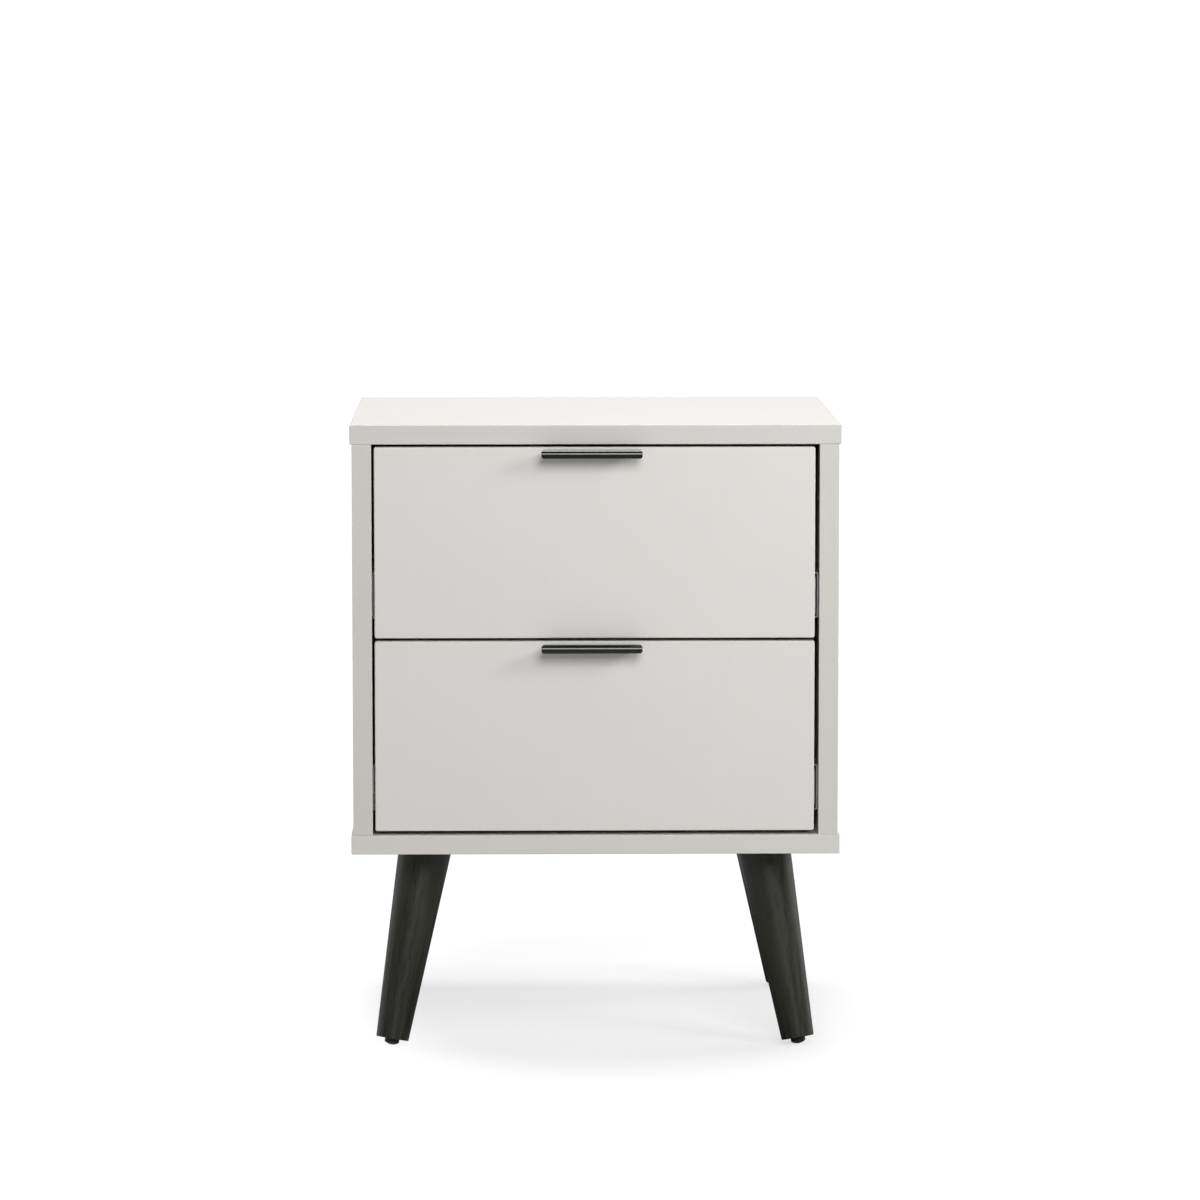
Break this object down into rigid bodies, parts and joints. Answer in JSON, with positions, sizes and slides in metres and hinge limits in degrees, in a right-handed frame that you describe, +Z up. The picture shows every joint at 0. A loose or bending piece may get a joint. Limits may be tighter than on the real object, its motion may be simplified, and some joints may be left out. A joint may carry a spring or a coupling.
{
  "type": "nightstand",
  "caption": "Nightstand with stacked drawers on ball-bearing runners, light grey boards, black ledge handles and splayed, tapered dark wooden legs.",
  "frame": {"origin": "on the floor, at the centre of the feet, under the middle of the cabinet", "axes": "+Z up; the drawers face and open towards -Y; +X is to the right of someone facing the drawers"},
  "size_m": [0.48, 0.421, 0.62],
  "materials": {
    "carcass_board": "satin light warm grey laminate",
    "drawer_front_board": "satin light warm grey lacquer",
    "drawer_board": "matt pale grey melamine",
    "hardboard": "matt painted hardboard",
    "dark_leg_wood": "satin charcoal stain",
    "beech": "bare",
    "handle_black": "satin black powder coat",
    "runner_steel": "zinc plated",
    "cage_steel": "bright pressed steel with polished balls",
    "screw_steel": "zinc plated",
    "cam_alloy": "die-cast zinc alloy",
    "glide_plastic": "dark moulded plastic"
  },
  "bodies": {
    "cabinet": {"back_panel": "hardboard", "back_panel_screws": "screw_steel", "bottom_panel": "carcass_board", "bottom_panel_screws": "screw_steel", "cam_bolts": "screw_steel", "cam_locks": "cam_alloy", "carcass_dowels": "beech", "front_left_foot_glide": "glide_plastic", "front_left_leg": "dark_leg_wood", "front_right_foot_glide": "glide_plastic", "front_right_leg": "dark_leg_wood", "hanger_bolts": "screw_steel", "left_side_panel": "carcass_board", "leg_dowels": "beech", "lower_left_cabinet_rail": "runner_steel", "lower_right_cabinet_rail": "runner_steel", "rear_left_foot_glide": "glide_plastic", "rear_left_leg": "dark_leg_wood", "rear_right_foot_glide": "glide_plastic", "rear_right_leg": "dark_leg_wood", "right_side_panel": "carcass_board", "runner_cabinet_screws": "screw_steel", "threaded_inserts": "screw_steel", "top_panel": "carcass_board", "upper_left_cabinet_rail": "runner_steel", "upper_right_cabinet_rail": "runner_steel"},
    "lower_drawer": {"lower_drawer_bottom": "hardboard", "lower_drawer_box_back": "drawer_board", "lower_drawer_box_front": "drawer_board", "lower_drawer_corner_screws": "screw_steel", "lower_drawer_front": "drawer_front_board", "lower_drawer_front_screws": "screw_steel", "lower_drawer_left_side": "drawer_board", "lower_drawer_rail_screws": "screw_steel", "lower_drawer_right_side": "drawer_board", "lower_handle": "handle_black", "lower_handle_screws": "screw_steel", "lower_left_drawer_rail": "runner_steel", "lower_right_drawer_rail": "runner_steel"},
    "lower_inner_ball_cages": {"lower_inner_ball_cages": "cage_steel"},
    "lower_middle_rails": {"lower_left_middle_rail": "runner_steel", "lower_right_middle_rail": "runner_steel"},
    "lower_outer_ball_cages": {"lower_outer_ball_cages": "cage_steel"},
    "upper_drawer": {"upper_drawer_bottom": "hardboard", "upper_drawer_box_back": "drawer_board", "upper_drawer_box_front": "drawer_board", "upper_drawer_corner_screws": "screw_steel", "upper_drawer_front": "drawer_front_board", "upper_drawer_front_screws": "screw_steel", "upper_drawer_left_side": "drawer_board", "upper_drawer_rail_screws": "screw_steel", "upper_drawer_right_side": "drawer_board", "upper_handle": "handle_black", "upper_handle_screws": "screw_steel", "upper_left_drawer_rail": "runner_steel", "upper_right_drawer_rail": "runner_steel"},
    "upper_inner_ball_cages": {"upper_inner_ball_cages": "cage_steel"},
    "upper_middle_rails": {"upper_left_middle_rail": "runner_steel", "upper_right_middle_rail": "runner_steel"},
    "upper_outer_ball_cages": {"upper_outer_ball_cages": "cage_steel"}
  },
  "joints": [
    {"name": "upper_drawer_slide", "type": "slide", "parent": "cabinet", "child": "upper_drawer", "axis": [0, -1, 0], "range_m": [0, 0.35]},
    {"name": "upper_middle_rails_slide", "type": "slide", "parent": "cabinet", "child": "upper_middle_rails", "axis": [0, -1, 0], "range_m": [0, 0.175]},
    {"name": "upper_outer_ball_cages_slide", "type": "slide", "parent": "cabinet", "child": "upper_outer_ball_cages", "axis": [0, -1, 0], "range_m": [0, 0.0875]},
    {"name": "upper_inner_ball_cages_slide", "type": "slide", "parent": "cabinet", "child": "upper_inner_ball_cages", "axis": [0, -1, 0], "range_m": [0, 0.2625]},
    {"name": "lower_drawer_slide", "type": "slide", "parent": "cabinet", "child": "lower_drawer", "axis": [0, -1, 0], "range_m": [0, 0.35]},
    {"name": "lower_middle_rails_slide", "type": "slide", "parent": "cabinet", "child": "lower_middle_rails", "axis": [0, -1, 0], "range_m": [0, 0.175]},
    {"name": "lower_outer_ball_cages_slide", "type": "slide", "parent": "cabinet", "child": "lower_outer_ball_cages", "axis": [0, -1, 0], "range_m": [0, 0.0875]},
    {"name": "lower_inner_ball_cages_slide", "type": "slide", "parent": "cabinet", "child": "lower_inner_ball_cages", "axis": [0, -1, 0], "range_m": [0, 0.2625]}
  ],
  "couplings": [
    {"joint": "upper_middle_rails_slide", "follows": "upper_drawer_slide", "ratio": 0.5},
    {"joint": "upper_outer_ball_cages_slide", "follows": "upper_drawer_slide", "ratio": 0.25},
    {"joint": "upper_inner_ball_cages_slide", "follows": "upper_drawer_slide", "ratio": 0.75},
    {"joint": "lower_middle_rails_slide", "follows": "lower_drawer_slide", "ratio": 0.5},
    {"joint": "lower_outer_ball_cages_slide", "follows": "lower_drawer_slide", "ratio": 0.25},
    {"joint": "lower_inner_ball_cages_slide", "follows": "lower_drawer_slide", "ratio": 0.75}
  ]
}
